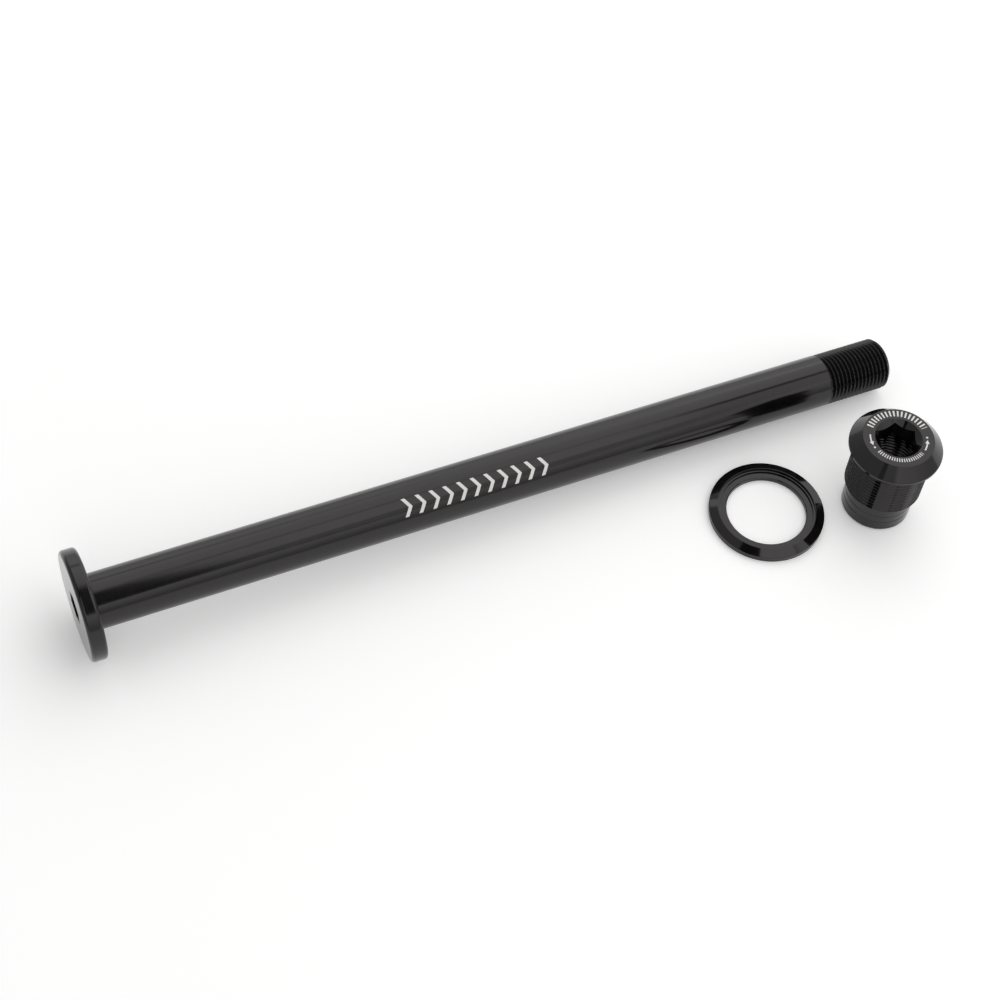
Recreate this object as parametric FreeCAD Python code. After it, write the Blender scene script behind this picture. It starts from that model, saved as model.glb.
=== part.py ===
"""Rear thru-axle set of a mountain bike, lying on a flat surface: the axle, its washer and its hollow bolt.

Millimetres, +Z up. +X runs along the axle from its head to its threaded tip, and the washer and the bolt lie
on its -Y side. The origin is on the surface, under the middle of the set's bounding box.
"""
import FreeCAD, Part
import math
import os

# Axle: turned from one bar, with a disc head, a plain shaft and a fine thread cut to the shaft's size
AXLE_DIAMETER = 12.0
AXLE_REACH = 189.0           # from the head's seat to the tip
AXLE_THREAD_CREST = 11.9
AXLE_THREAD_LENGTH = 16.3
AXLE_TIP_CHAMFER = 0.9
HEAD_DIAMETER = 24.0
HEAD_THICKNESS = 3.5
HEAD_EDGE_RADIUS = 0.8
AXLE_KEY = 6.0               # hex socket, across flats
AXLE_KEY_DEPTH = 10.0
AXLE_BORE = 7.0
AXLE_BORE_CHAMFER = 0.4

# Bolt: a conical head on a threaded shank, stepped down to a smaller plain tail
BOLT_HEAD_DIAMETER = 20.6
BOLT_FACE_DIAMETER = 15.6
BOLT_HEAD_HEIGHT = 3.4
BOLT_RIM_HEIGHT = 0.6
BOLT_SHANK_DIAMETER = 17.2
BOLT_SHANK_LENGTH = 12.6
BOLT_TAIL_DIAMETER = 15.4
BOLT_TAIL_LENGTH = 8.2
BOLT_TAIL_CHAMFER = 0.5
BOLT_KEY = 8.0               # hex socket, across flats
BOLT_KEY_DEPTH = 4.6
BOLT_KEY_MOUTH = 10.4        # diameter of the socket's countersink at the face
BOLT_KEY_TURN = 8.0          # degrees from +X to a corner of the socket
BOLT_BORE = 10.92            # crest of the fine inner thread that takes the axle
BOLT_BORE_CHAMFER = 0.6

# Washer: a low cone with a stepped recess that the bolt's head drops into
WASHER_DIAMETER = 26.0
WASHER_RIM_HEIGHT = 1.4
WASHER_HEIGHT = 2.1
WASHER_CREST_DIAMETER = 22.0  # sharp upper edge, where the cone meets the recess
WASHER_FLOOR = 1.25          # thickness under the bolt's head
WASHER_STEP_HEIGHT = 0.4
WASHER_LEDGE = 0.3           # width of the ledge above the step
WASHER_EDGE_CHAMFER = 0.15
WASHER_HEAD_CLEARANCE = 0.15  # round the bolt's head
WASHER_SHANK_CLEARANCE = 0.4  # round the bolt's shank

# Layout on the surface
WASHER_BACK_FROM_TIP = 42.5
WASHER_AXLE_GAP = 6.2
BOLT_WASHER_GAP = 2.25
BOLT_BEARING = -14.5         # degrees from +X, from the washer's centre to the bolt's

UP = FreeCAD.Vector(0, 0, 1)


def turned(profile):
    """Solid of revolution about Z, from a closed outline of (radius, height) corners."""
    corners = [FreeCAD.Vector(radius, 0, height) for radius, height in profile]
    outline = Part.makePolygon(corners + corners[:1])
    return Part.Face(outline).revolve(FreeCAD.Vector(), UP, 360)


def hex_prism(across_flats, bottom, height, turn=0.0):
    """Hexagonal prism on Z, with a corner turned from +X by the given degrees."""
    corner_radius = across_flats / math.sqrt(3)
    angles = [math.radians(turn + 60 * side) for side in range(6)]
    corners = [
        FreeCAD.Vector(corner_radius * math.cos(angle), corner_radius * math.sin(angle), bottom)
        for angle in angles
    ]
    outline = Part.makePolygon(corners + corners[:1])
    return Part.Face(outline).extrude(UP * height)


def circles(shape, radius):
    """The shape's circular edges of one radius."""
    rounds = [edge for edge in shape.Edges if isinstance(edge.Curve, Part.Circle)]
    return [edge for edge in rounds if math.isclose(edge.Curve.Radius, radius, abs_tol=1e-6)]


def make_axle():
    """Axle on Z: its seat at zero, its head below and its thread at the top, bored through to the key socket."""
    shaft = AXLE_DIAMETER / 2
    crest = AXLE_THREAD_CREST / 2
    head = HEAD_DIAMETER / 2
    bore = AXLE_BORE / 2
    thread_start = AXLE_REACH - AXLE_THREAD_LENGTH
    socket_floor = AXLE_KEY_DEPTH - HEAD_THICKNESS
    body = turned([
        (0, -HEAD_THICKNESS),
        (head, -HEAD_THICKNESS),
        (head, 0),
        (shaft, 0),
        (shaft, thread_start),
        (crest, thread_start),
        (crest, AXLE_REACH - AXLE_TIP_CHAMFER),
        (crest - AXLE_TIP_CHAMFER, AXLE_REACH),
        (0, AXLE_REACH),
    ])
    body = body.makeFillet(HEAD_EDGE_RADIUS, circles(body, head))
    hollow = turned([
        (0, socket_floor),
        (bore, socket_floor),
        (bore, AXLE_REACH - AXLE_BORE_CHAMFER),
        (bore + AXLE_BORE_CHAMFER, AXLE_REACH),
        (0, AXLE_REACH),
    ])
    socket = hex_prism(AXLE_KEY, -HEAD_THICKNESS, AXLE_KEY_DEPTH)
    return body.cut(hollow.fuse(socket))


def lay_on_side(axle):
    """Lays the axle down along +X, so that it rests on its head's rounded edge and on the end of its thread."""
    run = AXLE_REACH - AXLE_TIP_CHAMFER + HEAD_EDGE_RADIUS
    drop = (HEAD_DIAMETER - AXLE_THREAD_CREST) / 2 - HEAD_EDGE_RADIUS
    tilt = math.atan2(drop, run) + math.asin(HEAD_EDGE_RADIUS / math.hypot(run, drop))
    edge_circle = HEAD_DIAMETER / 2 - HEAD_EDGE_RADIUS
    seat_height = edge_circle * math.cos(tilt) + HEAD_EDGE_RADIUS * (1 - math.sin(tilt))
    turn = FreeCAD.Rotation(FreeCAD.Vector(0, 1, 0), 90 + math.degrees(tilt))
    axle.Placement = FreeCAD.Placement(FreeCAD.Vector(0, 0, seat_height), turn)
    return axle


def make_bolt():
    """Bolt upright on its tail, with the key socket in its face and the inner thread's bore below it."""
    shank_start = BOLT_TAIL_LENGTH
    head_start = shank_start + BOLT_SHANK_LENGTH
    face = head_start + BOLT_HEAD_HEIGHT
    socket_floor = face - BOLT_KEY_DEPTH
    tail = BOLT_TAIL_DIAMETER / 2
    shank = BOLT_SHANK_DIAMETER / 2
    head = BOLT_HEAD_DIAMETER / 2
    mouth = BOLT_KEY_MOUTH / 2
    bore = BOLT_BORE / 2
    body = turned([
        (0, 0),
        (tail - BOLT_TAIL_CHAMFER, 0),
        (tail, BOLT_TAIL_CHAMFER),
        (tail, shank_start),
        (shank, shank_start),
        (shank, head_start),
        (head, head_start),
        (head, head_start + BOLT_RIM_HEIGHT),
        (BOLT_FACE_DIAMETER / 2, face),
        (0, face),
    ])
    hollow = turned([
        (0, 0),
        (bore + BOLT_BORE_CHAMFER, 0),
        (bore, BOLT_BORE_CHAMFER),
        (bore, socket_floor),
        (0, socket_floor),
    ])
    countersink = turned([(0, face - mouth), (mouth, face), (0, face)])
    socket = hex_prism(BOLT_KEY, socket_floor, BOLT_KEY_DEPTH, BOLT_KEY_TURN)
    return body.cut(hollow).cut(socket).cut(countersink)


def make_washer():
    """Washer flat on its underside, with the cone and the recess upwards."""
    rim = WASHER_DIAMETER / 2
    hole = BOLT_SHANK_DIAMETER / 2 + WASHER_SHANK_CLEARANCE
    seat = BOLT_HEAD_DIAMETER / 2 + WASHER_HEAD_CLEARANCE
    ledge_height = WASHER_FLOOR + WASHER_STEP_HEIGHT
    return turned([
        (hole + WASHER_EDGE_CHAMFER, 0),
        (rim - WASHER_EDGE_CHAMFER, 0),
        (rim, WASHER_EDGE_CHAMFER),
        (rim, WASHER_RIM_HEIGHT),
        (WASHER_CREST_DIAMETER / 2, WASHER_HEIGHT),
        (seat + WASHER_LEDGE, ledge_height),
        (seat, ledge_height),
        (seat, WASHER_FLOOR),
        (hole + WASHER_EDGE_CHAMFER, WASHER_FLOOR),
        (hole, WASHER_FLOOR - WASHER_EDGE_CHAMFER),
        (hole, WASHER_EDGE_CHAMFER),
    ])


def lay_out():
    """The three pieces where they lie, moved together so that the origin is under the middle of the set."""
    washer_centre = FreeCAD.Vector(
        AXLE_REACH - WASHER_BACK_FROM_TIP,
        -(AXLE_DIAMETER / 2 + WASHER_AXLE_GAP + WASHER_DIAMETER / 2),
        0,
    )
    spacing = WASHER_DIAMETER / 2 + BOLT_WASHER_GAP + BOLT_HEAD_DIAMETER / 2
    bearing = math.radians(BOLT_BEARING)
    bolt_centre = washer_centre + FreeCAD.Vector(math.cos(bearing), math.sin(bearing), 0) * spacing
    pieces = {
        "thru_axle": lay_on_side(make_axle()),
        "cone_washer": make_washer().translate(washer_centre),
        "hanger_bolt": make_bolt().translate(bolt_centre),
    }
    box = Part.makeCompound(list(pieces.values())).optimalBoundingBox()
    middle = FreeCAD.Vector(box.Center.x, box.Center.y, 0)
    return {name: shape.translate(-middle) for name, shape in pieces.items()}


os.makedirs("parts", exist_ok=True)
for name, shape in lay_out().items():
    shape.exportStep(f"parts/{name}.step")
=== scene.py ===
import bpy
import numpy as np
from mathutils import Matrix


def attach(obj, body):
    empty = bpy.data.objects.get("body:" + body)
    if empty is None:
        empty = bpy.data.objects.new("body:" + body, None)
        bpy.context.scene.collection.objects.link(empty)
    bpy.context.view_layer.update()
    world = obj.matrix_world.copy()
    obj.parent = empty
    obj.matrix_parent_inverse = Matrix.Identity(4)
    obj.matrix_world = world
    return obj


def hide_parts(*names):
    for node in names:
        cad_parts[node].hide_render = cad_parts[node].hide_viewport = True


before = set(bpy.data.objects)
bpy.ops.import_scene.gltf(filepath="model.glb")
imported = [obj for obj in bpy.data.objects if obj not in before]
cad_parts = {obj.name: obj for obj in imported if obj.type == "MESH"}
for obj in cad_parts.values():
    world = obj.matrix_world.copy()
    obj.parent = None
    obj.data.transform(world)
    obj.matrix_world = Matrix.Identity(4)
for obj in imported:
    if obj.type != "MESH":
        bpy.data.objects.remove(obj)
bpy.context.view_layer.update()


# Thru axle: one bar of aluminium, turned with its disc head and bored from the tip, then black anodised.
# A hex socket is broached in the head for a 6 mm key, and a fine thread is cut on the last 16 mm.
# A row of pale laser-etched chevrons on the shaft points the way in.
turn = np.linspace(0, 2 * np.pi, 144, endpoint=False)


def hexagon(across_flats):
    """Radius of a hexagon round the turn, with a corner at its start: half the flats over the cosine of the
    angle from the middle of the nearest flat."""
    from_flat = turn % (np.pi / 3) - np.pi / 6
    return (across_flats / 2 / np.cos(from_flat))[None, :]


def thread_groove(station, crest, root, depth, hand):
    """Depth of a 1 mm thread below its crest. The phase is the station in millimetres less the turn in
    revolutions, with the sign of the hand. Within each pitch the groove falls from the crest's share down a
    straight flank to the root's share, and back."""
    phase = station[:, None] - hand * turn / (2 * np.pi)
    from_root = np.abs(2 * (phase % 1) - 1)
    return depth * np.clip((1 - crest - from_root) / (1 - crest - root), 0, 1)


def turned_piece(name, profile, place):
    """Skin swept round an axis. The profile's pairs of stations and radii are stacked ring by ring. The
    point at turn t lies at its ring's station along the axis, and off it by the radius times cos t along
    the first cross direction of the place and times sin t along the second. A long run gets one more ring
    just inside each of its ends, so its shading stays flat up to them. The last ring joins the first."""
    long_run = 0.25
    edge_inset = 0.04
    sharp_angle = 0.65
    origin, first, second, axis = place
    rings = []
    for station, radius in profile:
        station = np.reshape(station, (len(station), -1))
        radius = np.reshape(radius, (len(radius), -1))
        rings.append(np.broadcast_arrays(station, radius, turn)[:2])
    station, radius = np.concatenate(rings, axis=1)[:, :, None]
    along = np.roll(station, -1, axis=0) - station
    out = np.roll(radius, -1, axis=0) - radius
    run = np.hypot(along, out).mean(axis=2, keepdims=True)
    inset = np.concatenate([np.zeros_like(run), edge_inset / run, 1 - edge_inset / run], axis=1)
    kept = ((run > long_run) | (inset == 0))[..., 0]
    station = (station + inset * along)[kept][..., None]
    radius = (radius + inset * out)[kept][..., None]
    outward = np.cos(turn)[:, None] * first + np.sin(turn)[:, None] * second
    points = 0.001 * (origin + station * axis + radius * outward)
    index = np.arange(station.size).reshape(station.shape[:2])
    beside = np.roll(index, -1, axis=1)
    quads = np.stack([index, beside, np.roll(beside, -1, axis=0), np.roll(index, -1, axis=0)], axis=-1)
    mesh = bpy.data.meshes.new(name)
    mesh.from_pydata(points.reshape(-1, 3).tolist(), [], quads.reshape(-1, 4).tolist(), shade_flat=False)
    mesh.set_sharp_from_angle(angle=sharp_angle)
    piece = bpy.data.objects.new(name, mesh)
    bpy.context.scene.collection.objects.link(piece)
    return piece


head_radius = 12.0
head_thickness = 3.5
head_round = 0.8
face_ring = 5.0
seat_ring = 8.0
shaft_radius = 6.0
shaft_rings = 12
reach = 189.0
thread_start = 172.7
thread_crest = 5.95
thread_rows = 32
thread_gap = 0.05
thread_run = 0.6
tip_chamfer = 0.9
bore_radius = 3.5
bore_chamfer = 0.4
bore_end = reach - 2.0
socket_floor = 6.5
key_hexagon = hexagon(6.0)
key_edge = 0.15

quarter = np.linspace(0, np.pi / 2, 8)
round_ring = head_radius - head_round
# the thread's rows start just clear of the shaft's last ring
thread_station = np.arange(thread_start + thread_gap, reach, 1 / thread_rows)
run_in = np.clip((thread_station - thread_start) / thread_run, 0, 1)[:, None]
thread_depth = run_in * thread_groove(thread_station, crest=0.03, root=0.05, depth=0.7, hand=1)
chamfer_depth = np.clip(thread_station - reach + tip_chamfer, 0, None)[:, None]
axle_profile = [
    ([-head_thickness], key_hexagon + key_edge),
    ([-head_thickness] * 2, [face_ring, seat_ring]),
    (head_round - head_thickness - head_round * np.cos(quarter), round_ring + head_round * np.sin(quarter)),
    (head_round * np.sin(quarter) - head_round, round_ring + head_round * np.cos(quarter)),
    ([0.0], [seat_ring]),
    (np.linspace(0, thread_start, shaft_rings), [shaft_radius] * shaft_rings),
    (thread_station, thread_crest - np.maximum(thread_depth, chamfer_depth)),
    ([reach, reach], [thread_crest - tip_chamfer, bore_radius + bore_chamfer]),
    ([reach - bore_chamfer], [bore_radius]),
    (np.linspace(bore_end, socket_floor, shaft_rings), [bore_radius] * shaft_rings),
    ([socket_floor, key_edge - head_thickness], key_hexagon),
]
# it rests on its head's rounded edge and on the end of its thread, so it leans by this angle in radians
tilt = 0.0320188
axle_along = np.array([np.cos(tilt), 0, -np.sin(tilt)])
axle_up = np.array([np.sin(tilt), 0, np.cos(tilt)])
axle_side = np.cross(axle_along, axle_up)
head_seat = np.array([-92.6038, 14.9486, 11.9686])
thru_axle = turned_piece("thru_axle_turned", axle_profile, (head_seat, axle_up, axle_side, axle_along))


def maths(tree, operation, *values):
    """A Math node's result: numbers are set on its sockets, and other nodes' outputs are linked to them."""
    step = tree.nodes.new("ShaderNodeMath")
    step.operation = operation
    for socket, value in zip(step.inputs, values):
        if isinstance(value, bpy.types.NodeSocket):
            tree.links.new(value, socket)
        else:
            socket.default_value = value
    return step.outputs[0]


def combine(tree, operation, *shares):
    """One share from several, taken two at a time. Their product is 1 where all of them are, and their
    maximum or their sum where any of them is."""
    result = shares[0]
    for share in shares[1:]:
        result = maths(tree, operation, result, share)
    return result


def black_anodise(name, place, smoothest, roughest):
    """Black anodised, turned aluminium: a deep black dye with a faint cloud in it, under a clear hard gloss.
    Fine turning rings follow the station plus the radius in millimetres: they raise the gloss by a hair, and
    take its roughness from the smoothest to the roughest. Gives back the material and, in millimetres, the
    place's two cross coordinates, the station and the radius."""
    origin, first, second, axis = place
    finish = bpy.data.materials.new(name)
    finish.use_nodes = True
    tree = finish.node_tree
    gloss = tree.nodes["Principled BSDF"]
    gloss.inputs["IOR"].default_value = 1.5
    gloss.inputs["Specular Tint"].default_value = (1, 0.955, 0.965, 1)
    coordinates = tree.nodes.new("ShaderNodeTexCoord")
    centred = tree.nodes.new("ShaderNodeMapping")
    centred.vector_type = "TEXTURE"
    centred.inputs["Location"].default_value = 0.001 * origin
    centred.inputs["Rotation"].default_value = Matrix((first, second, axis)).transposed().to_euler()
    centred.inputs["Scale"].default_value = (0.001, 0.001, 0.001)
    tree.links.new(coordinates.outputs["Object"], centred.inputs["Vector"])
    split = tree.nodes.new("ShaderNodeSeparateXYZ")
    tree.links.new(centred.outputs[0], split.inputs[0])
    x, y, z = split.outputs
    radius_squared = maths(tree, "ADD", maths(tree, "MULTIPLY", x, x), maths(tree, "MULTIPLY", y, y))
    radius = maths(tree, "SQRT", radius_squared)

    cloud = tree.nodes.new("ShaderNodeTexNoise")
    cloud.inputs["Scale"].default_value = 0.35
    cloud.inputs["Detail"].default_value = 5.0
    tree.links.new(centred.outputs[0], cloud.inputs["Vector"])
    dye = tree.nodes.new("ShaderNodeValToRGB")
    dye.color_ramp.elements[0].position = 0.3
    dye.color_ramp.elements[0].color = (0.0026, 0.0024, 0.0024, 1)
    dye.color_ramp.elements[1].position = 0.7
    dye.color_ramp.elements[1].color = (0.0048, 0.0044, 0.0043, 1)
    tree.links.new(cloud.outputs["Fac"], dye.inputs[0])
    tree.links.new(dye.outputs[0], gloss.inputs["Base Color"])

    turning = tree.nodes.new("ShaderNodeTexNoise")
    turning.noise_dimensions = "1D"
    turning.inputs["Scale"].default_value = 7.0
    turning.inputs["Detail"].default_value = 4.0
    tree.links.new(maths(tree, "ADD", z, radius), turning.inputs["W"])
    polish = tree.nodes.new("ShaderNodeMapRange")
    polish.inputs["From Min"].default_value = 0.3
    polish.inputs["From Max"].default_value = 0.7
    polish.inputs["To Min"].default_value = smoothest
    polish.inputs["To Max"].default_value = roughest
    tree.links.new(turning.outputs["Fac"], polish.inputs["Value"])
    tree.links.new(polish.outputs[0], gloss.inputs["Roughness"])
    ridges = tree.nodes.new("ShaderNodeBump")
    ridges.inputs["Strength"].default_value = 0.5
    ridges.inputs["Distance"].default_value = 0.000001
    tree.links.new(turning.outputs["Fac"], ridges.inputs["Height"])
    tree.links.new(ridges.outputs[0], gloss.inputs["Normal"])
    return finish, (x, y, z, radius)


def etch(finish, mark):
    """Laser etching: a mix by the mark, from the dyed finish at 0 to a burnt, pale and matt grey at 1."""
    tree = finish.node_tree
    gloss = tree.nodes["Principled BSDF"]
    pale_grey = (0.74, 0.73, 0.71, 1)
    matt = 0.55
    for socket, kind, burnt in (("Base Color", "RGBA", pale_grey), ("Roughness", "FLOAT", matt)):
        dyed = gloss.inputs[socket].links[0].from_socket
        mix = tree.nodes.new("ShaderNodeMix")
        mix.data_type = kind
        share, start, end = [plug for plug in mix.inputs if plug.enabled]
        tree.links.new(mark, share)
        tree.links.new(dyed, start)
        end.default_value = burnt
        result = [plug for plug in mix.outputs if plug.enabled][0]
        tree.links.new(result, gloss.inputs[socket])


# the etched row faces the front, 36 degrees round from the top
etch_turn = np.radians(36)
etch_out = np.cos(etch_turn) * axle_up + np.sin(etch_turn) * axle_side
etch_place = (head_seat, etch_out, np.cross(axle_along, etch_out), axle_along)
shaft_finish, (outward, across, station, _) = black_anodise(
    "black_anodised_shaft", etch_place, smoothest=0.1, roughest=0.16
)
first_chevron = 68.6
chevron_count = 11
chevron_spacing = 3.2
half_row = chevron_count * chevron_spacing / 2
chevron_sweep = 0.62
chevron_share = 0.27
half_chevron = 2.0
shaft = shaft_finish.node_tree
along_row = maths(shaft, "SUBTRACT", station, first_chevron)
swept = maths(shaft, "MULTIPLY_ADD", maths(shaft, "ABSOLUTE", across), chevron_sweep, along_row)
in_spacing = maths(shaft, "FRACT", maths(shaft, "DIVIDE", swept, chevron_spacing))
chevrons = combine(
    shaft, "MULTIPLY",
    maths(shaft, "LESS_THAN", in_spacing, chevron_share),
    maths(shaft, "COMPARE", swept, half_row, half_row),
    maths(shaft, "COMPARE", across, 0.0, half_chevron),
    maths(shaft, "GREATER_THAN", outward, 0.0),
)
etch(shaft_finish, chevrons)
thru_axle.data.materials.append(shaft_finish)
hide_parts("thru_axle")
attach(thru_axle, "root")


# Cone washer: a ring turned from aluminium bar, black anodised like the axle, with a low cone on top.
# The bolt's head drops into its stepped recess. Here it lies loose on its flat underside.
rim_radius = 13.0
rim_top = 1.36
rim_bevel = 0.06
cone_top = 2.08
cone_edge = 11.06
recess_edge = 10.97
ledge_height = 1.65
ledge_radius = 10.94
ledge_bevel = 0.03
seat_height = 1.25
seat_radius = 10.45
hole_radius = 9.0
washer_chamfer = 0.15
washer_profile = [
    ([0.0, 0.0], [hole_radius + washer_chamfer, rim_radius - washer_chamfer]),
    ([washer_chamfer, rim_top, rim_top + rim_bevel], [rim_radius, rim_radius, rim_radius - rim_bevel]),
    ([cone_top, cone_top], [cone_edge, recess_edge]),
    ([ledge_height, ledge_height], [ledge_radius, seat_radius + ledge_bevel]),
    ([ledge_height - ledge_bevel, seat_height], [seat_radius, seat_radius]),
    ([seat_height, seat_height - washer_chamfer], [hole_radius + washer_chamfer, hole_radius]),
    ([washer_chamfer], [hole_radius]),
]
upright = np.identity(3)
washer_place = (np.array([53.8962, -10.2514, 0.0]), *upright)
cone_washer = turned_piece("cone_washer_turned", washer_profile, washer_place)
washer_finish, _ = black_anodise("black_anodised_washer", washer_place, smoothest=0.05, roughest=0.09)
cone_washer.data.materials.append(washer_finish)
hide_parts("cone_washer")
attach(cone_washer, "root")


# Hanger bolt: a hollow bolt turned from aluminium and black anodised, with a conical head, a fine left-hand
# thread on its shank, a plain tail with thin rings, and a hex socket above the inner thread for the axle.
# Its face is etched with two arrows for the way it tightens and with plain graduations.
tail_radius = 7.7
tail_chamfer = 0.5
tail_grooves = np.array([3.1, 5.15])
groove_depth = 0.07
groove_width = 0.09
groove_reach = 0.3
groove_rows = 17
shank_start = 8.2
shank_crest = 8.6
shank_edge = 0.15
shank_rows = 24
shank_gap = 0.2
neck_radius = 8.55
neck_length = 0.3
neck_run = 0.5
neck_gap = 0.1
flange_start = 20.8
flange_radius = 10.3
flange_edge = 0.08
flange_top = 21.35
cone_foot_rise = 0.07
cone_foot_inset = 0.04
bolt_face = 24.2
face_radius = 7.76
face_bevel_width = 0.09
face_bevel_drop = 0.04
mouth_radius = 5.2
mouth_bevel = 0.03
bolt_hexagon = hexagon(8.0)
bolt_socket_floor = 19.6
inner_crest = 5.46
inner_chamfer = 0.6
inner_rows = 13
inner_gap = 0.1
inner_end = 0.05

tail_station = (tail_grooves[:, None] + np.linspace(-groove_reach, groove_reach, groove_rows)).ravel()
from_groove = (tail_station[:, None] - tail_grooves) / groove_width
tail_depth = groove_depth * np.exp(-from_groove ** 2).sum(axis=1)
# each thread's rows keep just clear of the rings at its ends
shank_station = np.arange(shank_start + shank_gap, flange_start - neck_gap, 1 / shank_rows)
run_out = np.clip((flange_start - neck_length - shank_station) / neck_run, 0, 1)[:, None]
shank_depth = run_out * thread_groove(shank_station, crest=0.08, root=0.12, depth=0.54, hand=-1)
inner_station = np.arange(bolt_socket_floor - inner_gap, inner_end, -1 / inner_rows)
inner_run = np.clip((bolt_socket_floor - inner_station) / thread_run, 0, 1)[:, None]
inner_depth = inner_run * thread_groove(inner_station, crest=0.32, root=0.12, depth=0.5, hand=1)
bolt_profile = [
    ([0.0, 0.0], [inner_crest + inner_chamfer, tail_radius - tail_chamfer]),
    ([tail_chamfer], [tail_radius]),
    (tail_station, tail_radius - tail_depth),
    ([shank_start, shank_start], [tail_radius, shank_crest - shank_edge]),
    ([shank_start + shank_edge], [shank_crest]),
    (shank_station, shank_crest - shank_depth),
    ([flange_start, flange_start], [neck_radius, flange_radius - flange_edge]),
    ([flange_start + flange_edge, flange_top], [flange_radius, flange_radius]),
    ([flange_top + cone_foot_rise], [flange_radius - cone_foot_inset]),
    ([bolt_face - face_bevel_drop, bolt_face], [face_radius + face_bevel_width, face_radius]),
    ([bolt_face, bolt_face - mouth_bevel], [mouth_radius + mouth_bevel, mouth_radius - mouth_bevel]),
    (bolt_face - mouth_radius + bolt_hexagon, bolt_hexagon),
    ([bolt_socket_floor], bolt_hexagon),
    ([bolt_socket_floor], [inner_crest]),
    (inner_station, inner_crest + np.maximum(inner_depth, inner_chamfer - inner_station[:, None])),
]
bolt_foot = np.array([78.6324, -16.6486, 0.0])
corner_turn = np.radians(8)
corner_out = np.array([np.cos(corner_turn), np.sin(corner_turn), 0])
bolt_place = (bolt_foot, corner_out, np.cross(upright[2], corner_out), upright[2])
hanger_bolt = turned_piece("hanger_bolt_turned", bolt_profile, bolt_place)
bolt_square = (bolt_foot, *upright)
bolt_finish, (bolt_x, bolt_y, bolt_height, bolt_radius) = black_anodise(
    "black_anodised_bolt", bolt_square, smoothest=0.05, roughest=0.09
)
face = bolt_finish.node_tree
angle = maths(face, "MULTIPLY", maths(face, "ARCTAN2", bolt_y, bolt_x), 180 / np.pi)


def graduations(middle, half_width, spacing, ring, half_height):
    """Etched strokes on the bolt's face, evenly spaced in degrees on an arc about the middle angle. Each
    fills a share of its spacing, stands on a ring of the given radius and reaches the half height to both
    sides of it."""
    stroke_share = 0.42
    into_spacing = maths(face, "FRACT", maths(face, "DIVIDE", angle, spacing))
    return combine(
        face, "MULTIPLY",
        maths(face, "LESS_THAN", into_spacing, stroke_share),
        maths(face, "COMPARE", angle, middle, half_width),
        maths(face, "COMPARE", bolt_radius, ring, half_height),
    )


def turning_arrow(start, length):
    """Etched arrow on the bolt's face, bent round a ring from the start angle: a thin line, then a head
    whose half width falls with the degrees left to its tip. Beyond the tip is a dot, where the distances
    along the ring and off it add up to less than its size."""
    ring = 6.2
    half_line = 0.16
    line_end = length - 6
    head_start = length - 9
    head_slope = 0.055
    dot_middle = length + 6
    dot_size = 0.3
    degree = 0.11
    ahead = maths(face, "WRAP", maths(face, "SUBTRACT", angle, start), 360.0, 0.0)
    off_ring = maths(face, "ABSOLUTE", maths(face, "SUBTRACT", bolt_radius, ring))
    on_line = maths(face, "LESS_THAN", off_ring, half_line)
    line = maths(face, "MULTIPLY", maths(face, "LESS_THAN", ahead, line_end), on_line)
    half_head = maths(face, "MULTIPLY", maths(face, "SUBTRACT", length, ahead), head_slope)
    in_head = maths(face, "LESS_THAN", off_ring, half_head)
    head = maths(face, "MULTIPLY", maths(face, "GREATER_THAN", ahead, head_start), in_head)
    along_ring = maths(face, "MULTIPLY", maths(face, "SUBTRACT", ahead, dot_middle), degree)
    from_dot = maths(face, "ADD", maths(face, "ABSOLUTE", along_ring), off_ring)
    dot = maths(face, "LESS_THAN", from_dot, dot_size)
    return combine(face, "MAXIMUM", line, head, dot)


face_marks = combine(
    face, "MAXIMUM",
    turning_arrow(start=150, length=27),
    turning_arrow(start=-54, length=27),
    graduations(middle=68.0, half_width=66.0, spacing=7.5, ring=6.6, half_height=0.75),
    graduations(middle=-115.0, half_width=51.0, spacing=5.0, ring=6.05, half_height=0.45),
)
etch_depth = 0.05
on_face = maths(face, "GREATER_THAN", bolt_height, bolt_face - etch_depth)
etch(bolt_finish, maths(face, "MULTIPLY", face_marks, on_face))
hanger_bolt.data.materials.append(bolt_finish)
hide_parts("hanger_bolt")
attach(hanger_bolt, "root")


# Floor: a wide sheet of matt white board that the set lies on. Only low views reach its far edge.
# A little glow of its own makes it white to the lens and in the gloss, and it keeps the set's soft shadow.
floor_edge = 30.0
floor_drop = 0.00002
floor_glow = 0.18
floor_x, floor_y = np.meshgrid([-floor_edge, floor_edge], [-floor_edge, floor_edge])
floor_points = np.stack([floor_x, floor_y, np.full_like(floor_x, -floor_drop)], axis=-1).reshape(-1, 3)
floor_mesh = bpy.data.meshes.new("white_board")
floor_mesh.from_pydata(floor_points.tolist(), [], [(0, 1, 3, 2)])
floor = bpy.data.objects.new("white_board", floor_mesh)
bpy.context.scene.collection.objects.link(floor)
board_finish = bpy.data.materials.new("white_board")
board_finish.use_nodes = True
board = board_finish.node_tree
board_shader = board.nodes["Principled BSDF"]
board_shader.inputs["Base Color"].default_value = (0.95, 0.947, 0.944, 1)
board_shader.inputs["Roughness"].default_value = 0.9
board_shader.inputs["Specular IOR Level"].default_value = 0.1
board_shader.inputs["Emission Color"].default_value = (1, 1, 1, 1)
ray = board.nodes.new("ShaderNodeLightPath").outputs
seen = combine(board, "ADD", ray["Is Camera Ray"], ray["Is Glossy Ray"], ray["Is Transmission Ray"])
board.links.new(maths(board, "MULTIPLY", seen, floor_glow), board_shader.inputs["Emission Strength"])
floor_mesh.materials.append(board_finish)


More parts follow.
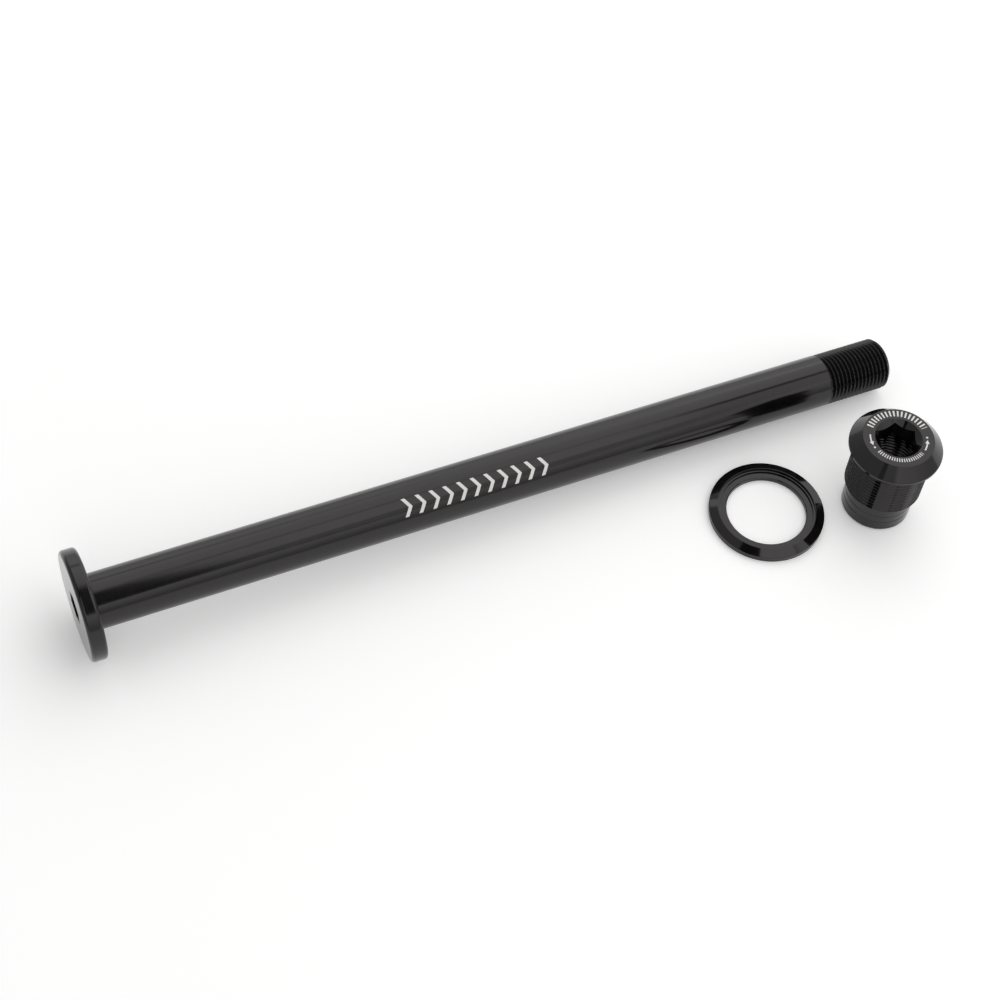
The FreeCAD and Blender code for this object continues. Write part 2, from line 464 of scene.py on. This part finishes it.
# Light tent: pale cloth all round that the gloss mirrors, with a dark slit above the lens, a dim front roof
# and a wall that brightens towards the right and the back. Five softboxes in its roof light the set.
tent = bpy.data.worlds.new("light_tent")
bpy.context.scene.world = tent
tent.use_nodes = True
cloth = tent.node_tree
ray_heading = cloth.nodes.new("ShaderNodeTexCoord").outputs["Generated"]


def towards(direction):
    """How far a ray heads in a direction: their dot product."""
    dot = cloth.nodes.new("ShaderNodeVectorMath")
    dot.operation = "DOT_PRODUCT"
    cloth.links.new(ray_heading, dot.inputs[0])
    dot.inputs[1].default_value = direction
    return dot.outputs["Value"]


def level(degrees):
    """Level direction at an angle from +X: its cosine and its sine."""
    return (np.cos(np.radians(degrees)), np.sin(np.radians(degrees)), 0)


def ramp(value, start, end):
    """A smooth step from 0 at the start to 1 at the end."""
    step = cloth.nodes.new("ShaderNodeMapRange")
    step.interpolation_type = "SMOOTHSTEP"
    step.inputs["From Min"].default_value = start
    step.inputs["From Max"].default_value = end
    cloth.links.new(value, step.inputs["Value"])
    return step.outputs[0]


def without(share):
    """What a share leaves over: 1 less the share."""
    return maths(cloth, "SUBTRACT", 1.0, share)


slit_heading = -137
slit_middle = -0.09
upward = towards((0, 0, 1))
frontward = towards((0, -1, 0))
rightward = towards((1, 0, 0))
beside_slit = towards(level(slit_heading + 90))
off_slit = maths(cloth, "ABSOLUTE", maths(cloth, "SUBTRACT", beside_slit, slit_middle))
slit = combine(
    cloth, "MULTIPLY",
    without(ramp(off_slit, 0.07, 0.09)),
    ramp(towards(level(slit_heading)), -0.2, -0.1),
    ramp(upward, 0.2, 0.8),
)
front_roof = combine(
    cloth, "MULTIPLY",
    ramp(beside_slit, -0.18, -0.16),
    ramp(frontward, -0.12, 0.0),
    without(ramp(rightward, 0.42, 0.52)),
    ramp(upward, 0.52, 0.62),
)
# a patch on the left of the front roof is lit, not dim
lit_patch = combine(
    cloth, "MULTIPLY",
    without(ramp(rightward, 0.03, 0.08)),
    ramp(beside_slit, 0.0, 0.03),
    ramp(frontward, 0.2, 0.35),
    ramp(upward, 0.45, 0.6),
)
dim_roof = maths(cloth, "SUBTRACT", front_roof, lit_patch)
wall_foot = 0.02
wall_rise = 0.68
back_rise = 0.2
wall_climb = maths(cloth, "MULTIPLY_ADD", ramp(upward, 0.0, 0.58), wall_rise, wall_foot)
wall_glow = maths(cloth, "MULTIPLY_ADD", ramp(frontward, 0.2, -0.4), back_rise, wall_climb)
lit_side = ramp(towards(level(-7.5)), -0.3, -0.1)
lit_wall = combine(cloth, "MULTIPLY", lit_side, wall_glow, without(ramp(upward, 0.54, 0.64)))
even_glow = 0.52
patch_glow = 0.45
dimmest = 0.06
lit_cloth = maths(cloth, "ADD", maths(cloth, "MULTIPLY_ADD", lit_patch, patch_glow, lit_wall), even_glow)
open_share = without(maths(cloth, "MAXIMUM", slit, dim_roof))
brightness = maths(cloth, "MULTIPLY_ADD", open_share, 1 - dimmest, dimmest)
backdrop = cloth.nodes["Background"]
backdrop.inputs["Color"].default_value = (1, 1, 1, 1)
cloth.links.new(maths(cloth, "MULTIPLY", lit_cloth, brightness), backdrop.inputs["Strength"])

roof_height = 1.0
roof_turn = Matrix.Rotation(np.radians(8), 4, "Z")


def softbox(name, along, across, glow):
    """A rectangular softbox of even glow in the tent's roof. It spans two ranges in metres, along the turned
    roof and across it to the left, and its power is four times its area for each unit of glow."""
    lamp = bpy.data.lights.new(name, "AREA")
    lamp.shape = "RECTANGLE"
    lamp.size = along[1] - along[0]
    lamp.size_y = across[1] - across[0]
    lamp.energy = 4 * lamp.size * lamp.size_y * glow
    box = bpy.data.objects.new(name, lamp)
    box.matrix_world = roof_turn @ Matrix.Translation((sum(along) / 2, sum(across) / 2, roof_height))
    box.visible_camera = False
    bpy.context.scene.collection.objects.link(box)


softbox("roof_back", along=(0.015, 1.3), across=(-0.045, 0.6), glow=0.74)
softbox("roof_back_far", along=(0.015, 1.3), across=(0.6, 1.13), glow=0.78)
softbox("roof_front", along=(0.046, 0.5), across=(-0.75, -0.045), glow=1.14)
softbox("roof_front_near", along=(0.046, 0.5), across=(-1.3, -0.75), glow=0.7)
softbox("roof_front_outer", along=(0.5, 1.28), across=(-1.3, -0.2), glow=0.66)


# Camera: in front of the set and above it, rolled a little, with a short telephoto lens.
# Its place, angles and focal length are those that fit the outlines of all three pieces.
view_place = (-0.115643, -0.200837, 0.346835)
view_azimuth, view_elevation, view_roll = np.radians([28.136, 54.783, -5.411])
forward = np.array([
    np.sin(view_azimuth) * np.cos(view_elevation),
    np.cos(view_azimuth) * np.cos(view_elevation),
    -np.sin(view_elevation),
])
level_right = np.array([np.cos(view_azimuth), -np.sin(view_azimuth), 0])
level_down = np.cross(forward, level_right)
view_right = np.cos(view_roll) * level_right + np.sin(view_roll) * level_down
view_up = np.sin(view_roll) * level_right - np.cos(view_roll) * level_down
view_turn = Matrix((view_right, view_up, -forward)).transposed().to_4x4()
lens = bpy.data.cameras.new("camera")
lens.lens = 68.393
lens.sensor_width = 36.0
lens.clip_start = 0.01
camera = bpy.data.objects.new("camera", lens)
camera.matrix_world = Matrix.Translation(view_place) @ view_turn
bpy.context.scene.collection.objects.link(camera)
bpy.context.scene.camera = camera
bpy.context.scene.view_settings.view_transform = "Standard"
